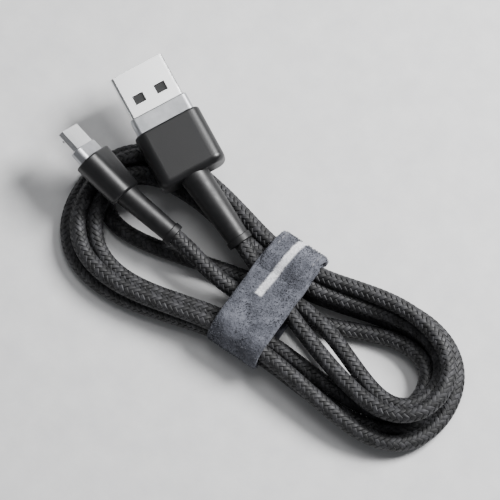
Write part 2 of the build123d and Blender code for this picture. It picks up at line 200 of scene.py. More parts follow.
def settled(points, held_start, held_end, steps):
    """The turns pushed apart from each other. Where many are squeezed together, in the strap and
    beside it, those that touch still press into each other, by less than 1 mm.

    Each step moves samples that are nearer than a cable's thickness apart by half of what they
    lack, keeps them off the floor and inside the strap, lets them sink a little, evens out
    sharp bends, and pulls the plan gently back to where it was laid.
    """
    start = points.copy()
    points = points.copy()
    weights = spline_weights(len(points))
    share = weights.sum(0)[:, None] + 1e-9
    free = np.ones((len(points), 1))
    free[:held_start] = 0
    free[len(points) - held_end:] = 0
    along = np.r_[0, np.cumsum(np.linalg.norm(np.diff(weights @ points, axis=0), axis=1))]
    apart = np.abs(along[:, None] - along[None]) > own_neighbours * cable_diameter
    radius = cable_diameter / 2
    cos_turn, sin_turn = math.cos(strap_turn), math.sin(strap_turn)
    ceiling = strap_thickness + strap_cavity[1] - radius
    half_room = strap_cavity[0] / 2 - radius
    for _ in range(steps):
        line = weights @ points
        gap = line[:, None] - line[None]
        distance = np.linalg.norm(gap, axis=2) + 1e-6
        close = apart & (distance < cable_diameter)
        push = np.where(close, (cable_diameter - distance) / distance, 0.0)[:, :, None] * gap
        crowd = np.maximum(1.0, (close.sum(1)[:, None] + 1.0) * crowd_share)
        move = 0.5 * push.sum(1) / crowd
        from_strap = line[:, :2] - strap_centre
        across_strap = -from_strap[:, 0] * sin_turn + from_strap[:, 1] * cos_turn
        along_strap = from_strap[:, 0] * cos_turn + from_strap[:, 1] * sin_turn
        in_strap = np.abs(along_strap) < strap_width / 2 + strap_margin
        floor = np.where(in_strap, strap_thickness, floor_gap) + radius
        move[:, 2] += np.maximum(floor - line[:, 2] - move[:, 2], 0)
        move[:, 2] -= np.where(in_strap, np.maximum(line[:, 2] + move[:, 2] - ceiling, 0), 0)
        beyond = np.clip(np.abs(across_strap) - half_room, 0, None) * np.sign(across_strap) * in_strap
        move[:, 0] += beyond * sin_turn
        move[:, 1] -= beyond * cos_turn
        points += free * (weights.T @ move) / share
        points += free * (start - points) * pull_back
        sag = np.zeros_like(points)
        sag[1:-1] = (points[:-2] + points[2:]) / 2 - points[1:-1]
        bend = np.zeros_like(points)
        bend[2:-2] = sag[2:-2] - (sag[1:-3] + sag[3:-1]) / 2
        points += free * bend_smoothing * bend
        points[:, 2] -= free[:, 0] * sink_per_step
    return points


def cable_line():
    """The cable's centre line, in millimetres, as Blender draws its NURBS spline."""
    planned = np.vstack([usb_route, laid_turns()[2:-1], micro_route])
    points = settled(planned, 2, 3, settle_steps)
    curve = bpy.data.curves.new("cable_route", "CURVE")
    curve.dimensions = "3D"
    curve.resolution_u = 12
    spline = curve.splines.new("NURBS")
    spline.points.add(len(points) - 1)
    spline.points.foreach_set("co", np.c_[points * MM, np.ones(len(points))].ravel())
    spline.order_u = 3
    spline.use_endpoint_u = True
    route = bpy.data.objects.new("cable_route", curve)
    bpy.context.scene.collection.objects.link(route)
    drawn = bpy.data.meshes.new_from_object(route)
    line = np.zeros(len(drawn.vertices) * 3)
    drawn.vertices.foreach_get("co", line)
    bpy.data.objects.remove(route)
    bpy.data.meshes.remove(drawn)
    return line.reshape(-1, 3) / MM


def resampled(line, spacing):
    """The same line with its points evenly spaced."""
    along = np.r_[0, np.cumsum(np.linalg.norm(np.diff(line, axis=0), axis=1))]
    at = np.linspace(0, along[-1], int(along[-1] / spacing) + 1)
    return np.stack([np.interp(at, along, line[:, axis]) for axis in range(3)], 1), at


def line_frames(line):
    """Along, sideways and upward directions at each point of a line that is never steep."""
    along = np.gradient(line, axis=0)
    along /= np.linalg.norm(along, axis=1)[:, None]
    side = np.cross(along, (0, 0, 1))
    side /= np.linalg.norm(side, axis=1)[:, None]
    return along, side, np.cross(side, along)


# ---------------------------------------------------------------- making meshes

def grid_faces(rows, columns, closed_rows=False):
    """Quads between neighbouring rows of points that each close into a ring, with each corner's own
    row and column."""
    row = np.arange(rows if closed_rows else rows - 1)
    row, column = [part.ravel() for part in np.meshgrid(row, np.arange(columns), indexing="ij")]
    corner_row = np.stack([row, row, row + 1, row + 1], 1)
    corner_column = np.stack([column, column + 1, column + 1, column], 1)
    return (corner_row % rows) * columns + corner_column % columns, corner_row, corner_column


def swept(sections):
    """A closed bar: rings of points joined by quads, with a pole at each end. Returns points, quads,
    triangles, and each quad corner's row and column."""
    rings, sides = sections.shape[:2]
    quads, row, column = grid_faces(rings, sides)
    points = np.vstack([sections.reshape(-1, 3), sections[0].mean(0), sections[-1].mean(0)])
    side = np.arange(sides)
    after = (side + 1) % sides
    first, last = rings * sides, rings * sides + 1
    base = (rings - 1) * sides
    start = np.stack([after, side, np.full(sides, first)], 1)
    end = np.stack([base + side, base + after, np.full(sides, last)], 1)
    return points, quads, np.vstack([start, end]), row, column


def joined(parts):
    """Several (points, quads, triangles) put together as one."""
    points, quads, triangles, count = [], [], [], 0
    for part in parts:
        points.append(part[0])
        quads.append(part[1] + count)
        triangles.append(part[2] + count)
        count += len(part[0])
    return np.vstack(points), np.vstack(quads), np.vstack(triangles)


def new_piece(name, points, quads, triangles, material, corner_uv=None):
    """An object at the origin from points in millimetres, with smooth faces. Faces that enclose a
    negative volume are turned round."""
    fans = [quads[:, [0, 1, 2]], quads[:, [0, 2, 3]], triangles]
    corners = points[np.vstack(fans)]
    volume = np.einsum("ij,ij->", corners[:, 0], np.cross(corners[:, 1], corners[:, 2]))
    if volume < 0:
        quads, triangles = quads[:, ::-1], triangles[:, ::-1]
        corner_uv = None if corner_uv is None else corner_uv[:, ::-1]
    mesh = bpy.data.meshes.new(name)
    mesh.vertices.add(len(points))
    mesh.vertices.foreach_set("co", (points * MM).ravel())
    mesh.loops.add(quads.size + triangles.size)
    mesh.loops.foreach_set("vertex_index", np.concatenate([quads.ravel(), triangles.ravel()]))
    mesh.polygons.add(len(quads) + len(triangles))
    starts = np.r_[np.arange(len(quads)) * 4, quads.size + np.arange(len(triangles)) * 3]
    mesh.polygons.foreach_set("loop_start", starts)
    mesh.update(calc_edges=True)
    mesh.validate()
    mesh.shade_smooth()
    if corner_uv is not None:
        layer = mesh.uv_layers.new(name="surface")
        cap_uv = np.zeros((triangles.size, 2))
        layer.uv.foreach_set("vector", np.vstack([corner_uv.reshape(-1, 2), cap_uv]).ravel())
    mesh.materials.append(material)
    piece = bpy.data.objects.new(name, mesh)
    bpy.context.scene.collection.objects.link(piece)
    return piece


# ---------------------------------------------------------------- materials

def linear(hex_colour):
    """An sRGB hex colour as linear red, green, blue and full alpha."""
    parts = [int(hex_colour[start:start + 2], 16) / 255 for start in (1, 3, 5)]
    return [part / 12.92 if part <= 0.04045 else ((part + 0.055) / 1.055) ** 2.4 for part in parts] + [1.0]


def add_node(tree, kind, settings=None, links=None):
    """A node of that kind, with its properties or inputs set and its inputs linked."""
    node = tree.nodes.new(kind)
    for key, value in (settings or {}).items():
        if isinstance(key, str) and hasattr(node, key):
            setattr(node, key, value)
        else:
            node.inputs[key].default_value = value
    for key, socket in (links or {}).items():
        tree.links.new(socket, node.inputs[key])
    return node


def new_material(name, settings):
    """A material with one Principled shader, and its tree and shader."""
    material = bpy.data.materials.new(name)
    material.use_nodes = True
    tree = material.node_tree
    shader = tree.nodes["Principled BSDF"]
    for key, value in settings.items():
        shader.inputs[key].default_value = value
    return material, tree, shader


def ramp_between(tree, factor, low, high, start=0.3, end=0.7):
    """A colour that goes from low to high as factor goes from start to end."""
    node = add_node(tree, "ShaderNodeValToRGB", links={"Fac": factor})
    node.color_ramp.elements[0].position = start
    node.color_ramp.elements[1].position = end
    node.color_ramp.elements[0].color = linear(low)
    node.color_ramp.elements[1].color = linear(high)
    return node.outputs["Color"]


def tint(tree, shader, factor, low, high, start=0.3, end=0.7):
    """The shader's base colour goes from low to high as factor goes from start to end."""
    tree.links.new(ramp_between(tree, factor, low, high, start, end), shader.inputs["Base Color"])


def roughen(tree, shader, factor, low, high):
    """The shader's roughness goes from low to high as factor goes from 0.3 to 0.7."""
    settings = {"From Min": 0.3, "From Max": 0.7, "To Min": low, "To Max": high}
    level = add_node(tree, "ShaderNodeMapRange", settings, {"Value": factor})
    tree.links.new(level.outputs["Result"], shader.inputs["Roughness"])


def grain(tree, size_mm, detail=3.0, stretch=(1, 1, 1), rough=0.5):
    """Noise on the object's own coordinates whose blotches are about size_mm across."""
    place = add_node(tree, "ShaderNodeTexCoord").outputs["Object"]
    mapped = add_node(tree, "ShaderNodeMapping", {"Scale": stretch}, {"Vector": place})
    settings = {"Scale": 1 / (size_mm * MM), "Detail": detail, "Roughness": rough}
    noise = add_node(tree, "ShaderNodeTexNoise", settings, {"Vector": mapped.outputs["Vector"]})
    return noise.outputs["Fac"]


def raise_surface(tree, shader, height, depth_mm, strength=1.0):
    """Bump of depth_mm on the shader."""
    settings = {"Distance": depth_mm * MM, "Strength": strength}
    bump = add_node(tree, "ShaderNodeBump", settings, {"Height": height})
    tree.links.new(bump.outputs["Normal"], shader.inputs["Normal"])


def braided_yarn(name, dark, light):
    """Polyester yarn, spun and braided: many fine filaments run along each flat yarn, so it has
    a soft broken sheen along its length and flecks where filaments lift."""
    material, tree, shader = new_material(name, {
        "Roughness": 0.6, "IOR": 1.5, "Sheen Weight": 0.12, "Sheen Roughness": 0.5,
        "Sheen Tint": linear("#86868a"),
    })
    uv = add_node(tree, "ShaderNodeUVMap", {"uv_map": "surface"}).outputs["UV"]
    stretched = add_node(tree, "ShaderNodeMapping", {"Scale": (9.0, 1.2, 1.0)}, {"Vector": uv})
    filaments = add_node(
        tree, "ShaderNodeTexNoise", {"Scale": 1.0, "Detail": 3.0}, {"Vector": stretched.outputs["Vector"]}
    ).outputs["Fac"]
    flecks = grain(tree, 1.3, 4.0, rough=0.65)
    both = add_node(
        tree, "ShaderNodeMath", {"operation": "MULTIPLY_ADD", 1: 0.45}, {0: filaments, 2: flecks})
    shifted = add_node(tree, "ShaderNodeMath", {"operation": "SUBTRACT", 1: 0.22}, {0: both.outputs[0]})
    tint(tree, shader, shifted.outputs[0], dark, light, 0.35, 0.68)
    roughen(tree, shader, filaments, 0.5, 0.75)
    raise_surface(tree, shader, filaments, 0.05)
    return material


def extruded_pvc():
    """Black PVC jacket, extruded: smooth, with a faint cloudiness."""
    material, tree, shader = new_material("black_pvc_jacket", {"Roughness": 0.55, "IOR": 1.53})
    tint(tree, shader, grain(tree, 2.0), "#101012", "#1b1b1e")
    return material


def moulded_abs():
    """ABS casing, injection moulded in a spark-textured tool: satin black with a fine even grain
    that breaks the highlight, and slightly duller patches where it has been handled."""
    material, tree, shader = new_material("satin_black_abs", {"IOR": 1.54, "Specular IOR Level": 0.5})
    handling = grain(tree, 5.0, 4.0)
    spark = grain(tree, 0.16, 2.0)
    tint(tree, shader, handling, "#0b0b0c", "#121214")
    roughen(tree, shader, handling, 0.36, 0.46)
    raise_surface(tree, shader, spark, 0.02, 0.6)
    return material


def moulded_tpe():
    """TPE strain relief, moulded: dead black rubber with a soft sheen and a slightly dusty bloom."""
    material, tree, shader = new_material("black_tpe_rubber", {"IOR": 1.5})
    bloom = grain(tree, 1.8, 5.0, rough=0.6)
    tint(tree, shader, bloom, "#0a0a0b", "#131315")
    roughen(tree, shader, bloom, 0.4, 0.52)
    raise_surface(tree, shader, grain(tree, 0.2, 2.0), 0.02, 0.5)
    return material


def moulded_ring():
    """Nylon end ring, moulded and polished: black, glossier than the rubber beside it."""
    material, tree, shader = new_material("black_nylon_ring", {"IOR": 1.53, "Specular IOR Level": 0.4})
    wear = grain(tree, 1.5, 4.0)
    tint(tree, shader, wear, "#09090a", "#141416")
    roughen(tree, shader, wear, 0.42, 0.55)
    return material


def rolled_steel():
    """Nickel-plated steel shell, rolled and folded: bright, with faint lines along the rolling
    and hairline scuffs from being plugged in."""
    material, tree, shader = new_material("nickel_plated_steel", {"Metallic": 1.0})
    rolling = grain(tree, 0.25, 3.0, stretch=(0.12, 1.0, 1.0))
    scuffs = grain(tree, 1.4, 5.0, rough=0.6)
    tint(tree, shader, scuffs, "#dedfe0", "#efefef")
    roughen(tree, shader, scuffs, 0.2, 0.27)
    raise_surface(tree, shader, rolling, 0.01, 0.35)
    return material


def blasted_aluminium():
    """Anodised aluminium collar, bead-blasted: an even light satin grey with a tiny sparkle."""
    material, tree, shader = new_material("blasted_anodised_aluminium", {"Metallic": 1.0})
    beads = grain(tree, 0.12, 2.0)
    cloud = grain(tree, 2.5, 3.0)
    tint(tree, shader, cloud, "#a9abae", "#c4c5c8")
    roughen(tree, shader, beads, 0.34, 0.5)
    raise_surface(tree, shader, beads, 0.015, 0.5)
    return material


def stamped_shield():
    """Tinned steel, stamped: dull grey with soft blotches from the tin bath."""
    material, tree, shader = new_material("tinned_steel", {"Metallic": 1.0})
    tin = grain(tree, 1.2, 4.0)
    tint(tree, shader, tin, "#8f9092", "#bdbec0")
    roughen(tree, shader, tin, 0.3, 0.5)
    raise_surface(tree, shader, tin, 0.01, 0.4)
    return material


def plated_gold():
    """Gold-flashed phosphor bronze contact: warm yellow, polished where it wipes."""
    material, tree, shader = new_material("gold_flashed_bronze", {"Metallic": 1.0})
    wipe = grain(tree, 0.6, 3.0, stretch=(0.2, 1.0, 1.0))
    tint(tree, shader, wipe, "#c79a4b", "#e3bd72")
    roughen(tree, shader, wipe, 0.18, 0.34)
    return material


def drawn_copper():
    """Bare copper wire, drawn: pink-brown, bright along the draw lines and dulled by air."""
    material, tree, shader = new_material("drawn_copper", {"Metallic": 1.0})
    air = grain(tree, 0.5, 4.0)
    tint(tree, shader, air, "#9c5b3c", "#c98862")
    roughen(tree, shader, air, 0.25, 0.45)
    return material


def moulded_carrier():
    """Glass-filled PBT contact carrier, moulded: black, dry, with a faint fibre fleck."""
    material, tree, shader = new_material("black_pbt_carrier", {"IOR": 1.55})
    fleck = grain(tree, 0.3, 3.0, stretch=(0.3, 1.0, 1.0))
    tint(tree, shader, fleck, "#131314", "#242425")
    roughen(tree, shader, fleck, 0.45, 0.65)
    return material


def moulded_polyethylene():
    """Natural polyethylene inner mould: milky white, waxy, letting some light in."""
    material, tree, shader = new_material("natural_polyethylene", {
        "IOR": 1.51, "Subsurface Weight": 0.2, "Subsurface Scale": 0.002,
    })
    wax = grain(tree, 2.0, 3.0)
    tint(tree, shader, wax, "#d9d7cf", "#eceae3")
    roughen(tree, shader, wax, 0.4, 0.55)
    return material


def core_pvc():
    """Grey PVC inner jacket, extruded over the wires: soft gloss, a little uneven."""
    material, tree, shader = new_material("grey_pvc_core", {"IOR": 1.53})
    cloud = grain(tree, 1.5, 3.0)
    tint(tree, shader, cloud, "#4a4b4e", "#5c5d60")
    roughen(tree, shader, cloud, 0.35, 0.5)
    return material


def knitted_loop():
    """Nylon loop strap, knitted and brushed: blue-grey nap that scatters light, with a painted highlight
    that makes the cloth and the ink paler where the pile stands higher, a slightly flattened centre, and
    one plain white printed stripe. The surface map gives millimetres across the strap and along it,
    from the middle of its top."""
    material, tree, shader = new_material("brushed_nylon_loop", {
        "Roughness": 0.9, "IOR": 1.53, "Specular IOR Level": 0.25, "Sheen Weight": 0.25,
        "Sheen Roughness": 0.5, "Sheen Tint": linear("#a0a0a8"),
    })
    pile = grain(tree, 0.42, 4.0, rough=0.7)
    wear = grain(tree, 3.2, 4.0, rough=0.6)
    blend = add_node(tree, "ShaderNodeMath", {"operation": "MULTIPLY_ADD", 1: 0.7}, {0: pile, 2: wear})
    mixed = add_node(tree, "ShaderNodeMath", {"operation": "MULTIPLY", 1: 0.588}, {0: blend.outputs[0]})
    # The cloth is paler where the pile noise is high, which is where the bump raises the pile: a painted
    # highlight on the pile tips
    cloth = ramp_between(tree, mixed.outputs[0], "#3a3c43", "#696b74", 0.38, 0.62)
    uv = add_node(tree, "ShaderNodeUVMap", {"uv_map": "surface"}).outputs["UV"]
    ragged = add_node(tree, "ShaderNodeMath", {"operation": "MULTIPLY_ADD", 1: 0.5, 2: -0.25}, {0: pile})
    parts = add_node(tree, "ShaderNodeSeparateXYZ", links={0: uv})
    leaning = add_node(tree, "ShaderNodeMath", {"operation": "MULTIPLY_ADD", 1: -print_lean},
                       {0: parts.outputs["Y"], 2: parts.outputs["X"]}).outputs[0]
    inside = None
    edges = ((leaning, print_middle - print_width / 2, print_middle + print_width / 2),
             (parts.outputs["Y"], print_start, print_end))
    for value, low, high in edges:
        loose = add_node(tree, "ShaderNodeMath", {"operation": "ADD"}, {0: value, 1: ragged.outputs[0]})
        middle = add_node(tree, "ShaderNodeMath", {"operation": "SUBTRACT", 1: (low + high) / 2},
                          {0: loose.outputs[0]})
        size = add_node(tree, "ShaderNodeMath", {"operation": "ABSOLUTE"}, {0: middle.outputs[0]})
        half = (high - low) / 2
        step = add_node(tree, "ShaderNodeMapRange", {
            "From Min": half - 0.2, "From Max": half + 0.2, "To Min": 1.0, "To Max": 0.0,
        }, {"Value": size.outputs[0]}).outputs["Result"]
        inside = step if inside is None else add_node(
            tree, "ShaderNodeMath", {"operation": "MULTIPLY"}, {0: inside, 1: step}).outputs[0]
    # The ink is paler on the raised pile too: a painted highlight on the pile tips
    ink = ramp_between(tree, pile, "#a9aab0", "#e9e9ec")
    colour = add_node(tree, "ShaderNodeMix", {"data_type": "RGBA"}, {0: inside, 6: cloth, 7: ink})
    tree.links.new(colour.outputs[2], shader.inputs["Base Color"])
    raise_surface(tree, shader, pile, 0.22, 0.9)
    return material


def loop_pile():
    """The lifted ends of the loop pile: the same nylon, a touch paler where single fibres catch
    light."""
    material, tree, shader = new_material("nylon_pile_tips", {
        "Roughness": 0.85, "IOR": 1.53, "Sheen Weight": 0.2, "Sheen Tint": linear("#a0a0a8"),
    })
    tint(tree, shader, grain(tree, 0.8), "#3e4047", "#696b73")
    return material


def moulded_hooks():
    """Nylon hook side: dark grey woven ground with rows of cut hooks."""
    material, tree, shader = new_material("woven_nylon_hook", {"Roughness": 0.7, "IOR": 1.53})
    rows = grain(tree, 0.5, 2.0)
    tint(tree, shader, rows, "#2c2c32", "#484850")
    raise_surface(tree, shader, rows, 0.2, 0.8)
    return material


def sewing_thread():
    """Polyester sewing thread, twisted: slate grey with a soft shine across its twist."""
    material, tree, shader = new_material("polyester_thread", {
        "Roughness": 0.55, "IOR": 1.5, "Sheen Weight": 0.15,
    })
    twist = grain(tree, 0.2, 2.0, stretch=(1.0, 0.4, 1.0))
    tint(tree, shader, twist, "#4c4d54", "#77787f")
    raise_surface(tree, shader, twist, 0.04, 0.7)
    return material


def paper_floor():
    """Matt pale board under the cable: off-white with a faint fibre mottle."""
    material, tree, shader = new_material("pale_matt_board", {"Roughness": 0.85, "IOR": 1.45})
    mottle = grain(tree, 6.0, 6.0, rough=0.6)
    tint(tree, shader, mottle, "#d2d2d3", "#dddddd")
    return material


# ---------------------------------------------------------------- the cable

core_radius = 1.4
core_step = 0.9
core_sides = 12
carriers = 8
yarn_radius = 1.54
yarn_weave = 0.12
yarn_width = 1.02
yarn_thickness = 0.17
yarn_step = 0.3


def jacket(line, material):
    """The cable's inner jacket: a ring of constant radius carried along the centre line."""
    centre, _ = resampled(line, core_step)
    _, side, up = line_frames(centre)
    angle = np.arange(core_sides) * math.tau / core_sides
    rings = centre[:, None] + core_radius * (
        np.cos(angle)[None, :, None] * side[:, None] + np.sin(angle)[None, :, None] * up[:, None])
    return new_piece("cable_jacket", *swept(rings)[:3], material), centre


def yarns(name, line, numbers, hand, material):
    """Flat braid yarns: each winds round the cable at 45 degrees with the given hand, and its
    distance from the centre rises and dips so that it passes over two yarns and under two. Its
    section is a shallow lens set across its own direction."""
    centre, distance = resampled(line, yarn_step)
    along, side, up = line_frames(centre)
    crossing = hand * distance * carriers / (math.pi * yarn_radius)
    half = yarn_width / 2
    lens = [(-half, 0.0), (-0.55 * half, 0.8), (0.55 * half, 0.8), (half, 0.0), (0.0, -1.0)]
    parts, maps = [], []
    for number in numbers:
        over = hand * np.cos(math.tau * (crossing + 2 * number - 0.5) / 4)
        angle = math.tau * number / carriers + hand * distance / yarn_radius
        out = np.cos(angle)[:, None] * side + np.sin(angle)[:, None] * up
        around = -np.sin(angle)[:, None] * side + np.cos(angle)[:, None] * up
        across = (around - hand * along) / math.sqrt(2)
        middle = centre + (yarn_radius + yarn_weave * over)[:, None] * out
        rings = np.stack([
            middle + width * across + (height * yarn_thickness / 2) * out for width, height in lens
        ], 1)
        points, quads, triangles, row, column = swept(rings)
        parts.append((points, quads, triangles))
        maps.append(np.stack([column / len(lens) + number, row * yarn_step], 2))
    points, quads, triangles = joined(parts)
    return new_piece(name, points, quads, triangles, material, np.concatenate(maps))


# ---------------------------------------------------------------- the strap

tail_begins = strap_cavity[0] / 2 - strap_corner - tail_start
frayed_edge = 1.0     # the outermost part of the cloth, where its edge runs unevenly
flat_below = 3.0      # below this height the strap lies flat, with no outward bulge


def strap_to_frame(points):
    """Points given across, along and above the strap's own place, put into the model's frame."""
    cos_turn, sin_turn = math.cos(strap_turn), math.sin(strap_turn)
    x, y, z = points[..., 0], points[..., 1], points[..., 2]
    return np.stack([
        strap_centre[0] + x * cos_turn - y * sin_turn, strap_centre[1] + x * sin_turn + y * cos_turn, z,
    ], -1)


def loop_outline(grow, count):
    """The strap's closed loop seen from its side, as a rounded rectangle grown outwards: points,
    outward directions and the distance along it, from the middle of its top towards the upper side."""
    half_y = strap_cavity[0] / 2
    half_z = strap_cavity[1] / 2
    centre_z = strap_thickness + half_z
    radius = strap_corner + grow
    flat_y, flat_z = half_y - strap_corner, half_z - strap_corner
    bend = radius * math.pi / 2
    lengths = np.array([flat_y, bend, 2 * flat_z, bend, 2 * flat_y, bend, 2 * flat_z, bend, flat_y])
    ends = np.cumsum(lengths)
    at = np.linspace(0, ends[-1], count, endpoint=False)
    piece = np.searchsorted(ends, at, side="right")
    f = (at - (ends - lengths)[piece]) / lengths[piece]
    corner = (piece % 2) == 1
    turn = np.where(corner, (piece - 1) / 2 * 90 + f * 90, (piece + 1) // 2 * 90)
    heading = np.radians(90 - turn)
    out = np.stack([np.cos(heading), np.sin(heading)], 1)
    corners = {1: (1, 1), 3: (1, -1), 5: (-1, -1), 7: (-1, 1)}
    side, top = flat_y + radius, flat_z + radius
    straights = {
        0: ((0, top), (flat_y, top)), 2: ((side, flat_z), (side, -flat_z)),
        4: ((flat_y, -top), (-flat_y, -top)), 6: ((-side, -flat_z), (-side, flat_z)),
        8: ((-flat_y, top), (0, top)),
    }
    place = np.zeros((count, 2))
    for number, (side_y, side_z) in corners.items():
        here = piece == number
        place[here] = np.array([side_y * flat_y, side_z * flat_z]) + radius * out[here]
    for number, (first, last) in straights.items():
        here = piece == number
        place[here] = np.array(first) + np.subtract(last, first) * f[here, None]
    place[:, 1] += centre_z
    return place, out, at


def strap_section(width, thickness, count=9):
    """Half-round edged flat section: offsets across the strap and outwards, anticlockwise."""
    edge = thickness / 2
    flat = np.linspace(-width / 2 + edge, width / 2 - edge, count)
    bend = np.radians(np.linspace(90, -90, 6)[1:-1])
    right = np.stack([width / 2 - edge + edge * np.cos(bend), edge * np.sin(bend)], 1)
    left = np.stack([-right[::-1, 0], right[::-1, 1]], 1)
    top = np.stack([flat, np.full(count, edge)], 1)
    bottom = np.stack([flat[::-1], np.full(count, -edge)], 1)
    return np.vstack([top, right, bottom, left])


def soft_wave(x, y, size, depth, seed):
    """A gentle unevenness: a few sine waves of random direction added together."""
    chance = np.random.default_rng(seed)
    total = np.zeros_like(x)
    for _ in range(6):
        heading = chance.uniform(0, math.tau)
        phase = chance.uniform(0, math.tau)
        stretch = chance.uniform(0.7, 1.6) * math.tau / size
        total += np.sin((x * math.cos(heading) + y * math.sin(heading)) * stretch + phase)
    return total * depth / 3


def strap_band(material):
    """The strap's closed wrap: its section carried round the loop's outline, swelling softly."""
    count = 300
    place, out, at = loop_outline(strap_thickness / 2, count)
    section = strap_section(strap_width, strap_thickness)
    width = section[:, 0][None, :] * np.ones((count, 1))
    level = section[:, 1][None, :] * np.ones((count, 1))
    swell = soft_wave(width, at[:, None] * np.ones_like(width), 9.0, 0.10, 11)
    resting = place[:, 1:] <= flat_below
    swell = np.where(level > 0, swell, 0) + np.where(resting, -np.maximum(swell, 0), 0.0)
    frayed = soft_wave(at, at, 7.0, 0.14, 5)[:, None] * np.sign(width)
    y = place[:, 0][:, None] + out[:, 0][:, None] * (level + swell)
    z = place[:, 1][:, None] + out[:, 1][:, None] * (level + swell)
    frayed_width = width + frayed * (np.abs(width) > strap_width / 2 - frayed_edge)
    sections = strap_to_frame(np.stack([frayed_width, y, z], -1))
    quads, row, column = grid_faces(count, len(section), closed_rows=True)
    spread = np.append(section[:, 0], section[0, 0])
    length = at[-1] + at[1]
    along = np.where(row / count > 0.5, row * length / count - length, row * length / count)
    printed = (level[0][column % len(section)] > 0) & (along < print_covered)
    band_map = np.stack([spread[column], np.where(printed, along, unprinted)], 2)
    no_ends = np.zeros((0, 3), int)
    piece = new_piece("strap_band", sections.reshape(-1, 3), quads, no_ends, material, band_map)
    return piece, length


def tail_path():
    """The strap's end seen from its side: it starts on the wrap's top, rounds the corner while it
    lifts off by the hook side's thickness, and lies down the upper side. Returns the points, the
    distance along them and the outward directions."""
    corner = np.array(
        [strap_cavity[0] / 2 - strap_corner, strap_thickness + strap_cavity[1] - strap_corner])
    lift = strap_corner + strap_thickness + strap_thickness / 2
    start = np.stack([np.linspace(-tail_start, 0, 16)[:-1] + corner[0], np.full(15, corner[1] + lift)], 1)
    turn = np.radians(np.linspace(90, 0, 24))
    radius = lift + tail_stand_off * eased(np.linspace(0, 1, 24) * 1.4)
    bend = corner + radius[:, None] * np.stack([np.cos(turn), np.sin(turn)], 1)
    down = np.linspace(bend[-1, 1], tail_bottom, 14)[1:]
    leaning_out = 0.25 * eased((down[0] - down) / 3.4 - 0.2)
    side = np.stack([np.full(13, bend[-1, 0]) + leaning_out, down], 1)
    path = np.vstack([start, bend, side])
    distance = np.r_[0, np.cumsum(np.linalg.norm(np.diff(path, axis=0), axis=1))]
    heading = np.gradient(path, axis=0)
    heading /= np.linalg.norm(heading, axis=1)[:, None]
    return path, distance, np.stack([-heading[:, 1], heading[:, 0]], 1)


def tail_shape(distance):
    """How far the tail is sunk into the wrap, its share of full thickness, and how much its sides
    draw in at each distance along it: it rises out of the wrap over tail_rise, and its far end has
    rounded corners."""
    risen = eased(distance / tail_rise)
    left = distance[-1] - distance
    rounded = tail_corner - np.sqrt(np.maximum(tail_corner**2 - (tail_corner - left) ** 2, 0))
    pinch = np.where(left < tail_corner, rounded, 0)
    return (1 - risen) * (strap_thickness + 0.1), 0.55 + 0.45 * risen, pinch


def tail_surface(across, at):
    """Points on the tail's outer face, and its outward directions there, in the strap's own place."""
    path, distance, out = tail_path()
    sunk, share, _ = tail_shape(distance)
    level = share * strap_thickness / 2 - sunk
    face = path + out * level[:, None]
    y, z = np.interp(at, distance, face[:, 0]), np.interp(at, distance, face[:, 1])
    out_y, out_z = np.interp(at, distance, out[:, 0]), np.interp(at, distance, out[:, 1])
    return np.stack([across, y, z], -1), np.stack([np.zeros_like(y), out_y, out_z], -1)


def strap_tail(material):
    """The strap's loose end: its section carried down the tail's path, rising out of the wrap where
    it starts and with rounded corners where it stops."""
    path, distance, out = tail_path()
    sunk, share, pinch = tail_shape(distance)
    section = strap_section(tail_width, strap_thickness)
    width = section[:, 0][None] * (1 - pinch / (tail_width / 2))[:, None]
    left = distance[-1] - distance
    swell = soft_wave(width, distance[:, None] * np.ones_like(width), 6.0, 0.06, 12)
    level = section[:, 1][None] * (share * np.where(left < 0.3, 0.75, 1.0))[:, None] - sunk[:, None]
    level = level + np.where(section[:, 1] > 0, swell, 0)
    frayed = soft_wave(distance, distance, 5.0, 0.10, 6)[:, None] * np.sign(width)
    width = width + frayed * (np.abs(width) > tail_width / 2 - frayed_edge)
    y = path[:, 0][:, None] + out[:, 0][:, None] * level
    z = path[:, 1][:, None] + out[:, 1][:, None] * level
    sections = strap_to_frame(np.stack([width, y, z], -1))
    points, quads, triangles, row, column = swept(sections)
    map_along = tail_begins + distance[np.minimum(row, len(path) - 1)]
    spread = section[:, 0][column % len(section)]
    outer = section[:, 1][column % len(section)] > 0
    tail_map = np.stack([spread, np.where(outer, map_along, unprinted)], 2)
    return new_piece("strap_loose_end", points, quads, triangles, material, tail_map), distance[-1]


def under_print(across, along):
    """Whether a place on the strap is on the stripe, where the pile leaves it open."""
    beside = np.abs(across - (print_middle + print_lean * along))
    return (beside < pile_parting) & (along > pile_parting_start)


def edge_drop(across, width):
    """How far the pile's roots sit below the face: some way at the rounded edges, else nothing."""
    return np.where(np.abs(across) > width / 2 - pile_edge, pile_edge_drop, 0.0)


def across_strap(count):
    """The direction across the strap, once for each of count fibres."""
    return np.tile([math.cos(strap_turn), math.sin(strap_turn), 0.0], (count, 1))


def tail_pile(material):
    """Pile over the loose end's outer face."""
    chance = np.random.default_rng(8)
    count = 1500
    _, distance, _ = tail_path()
    at = chance.uniform(0.8, distance[-1] - 0.1, count)
    across = chance.uniform(-tail_width / 2, tail_width / 2, count)
    pinch = np.interp(at, distance, tail_shape(distance)[2])
    show = (np.abs(across) < tail_width / 2 - pinch) & ~under_print(across, at + tail_begins)
    points, outs = tail_surface(across[show], at[show])
    points = points - outs * edge_drop(across[show], tail_width)[:, None]
    roots = strap_to_frame(points)
    outs = strap_to_frame(points + outs) - roots
    return pile_tufts("strap_tail_pile", roots, outs, across_strap(len(outs)), material, 9)


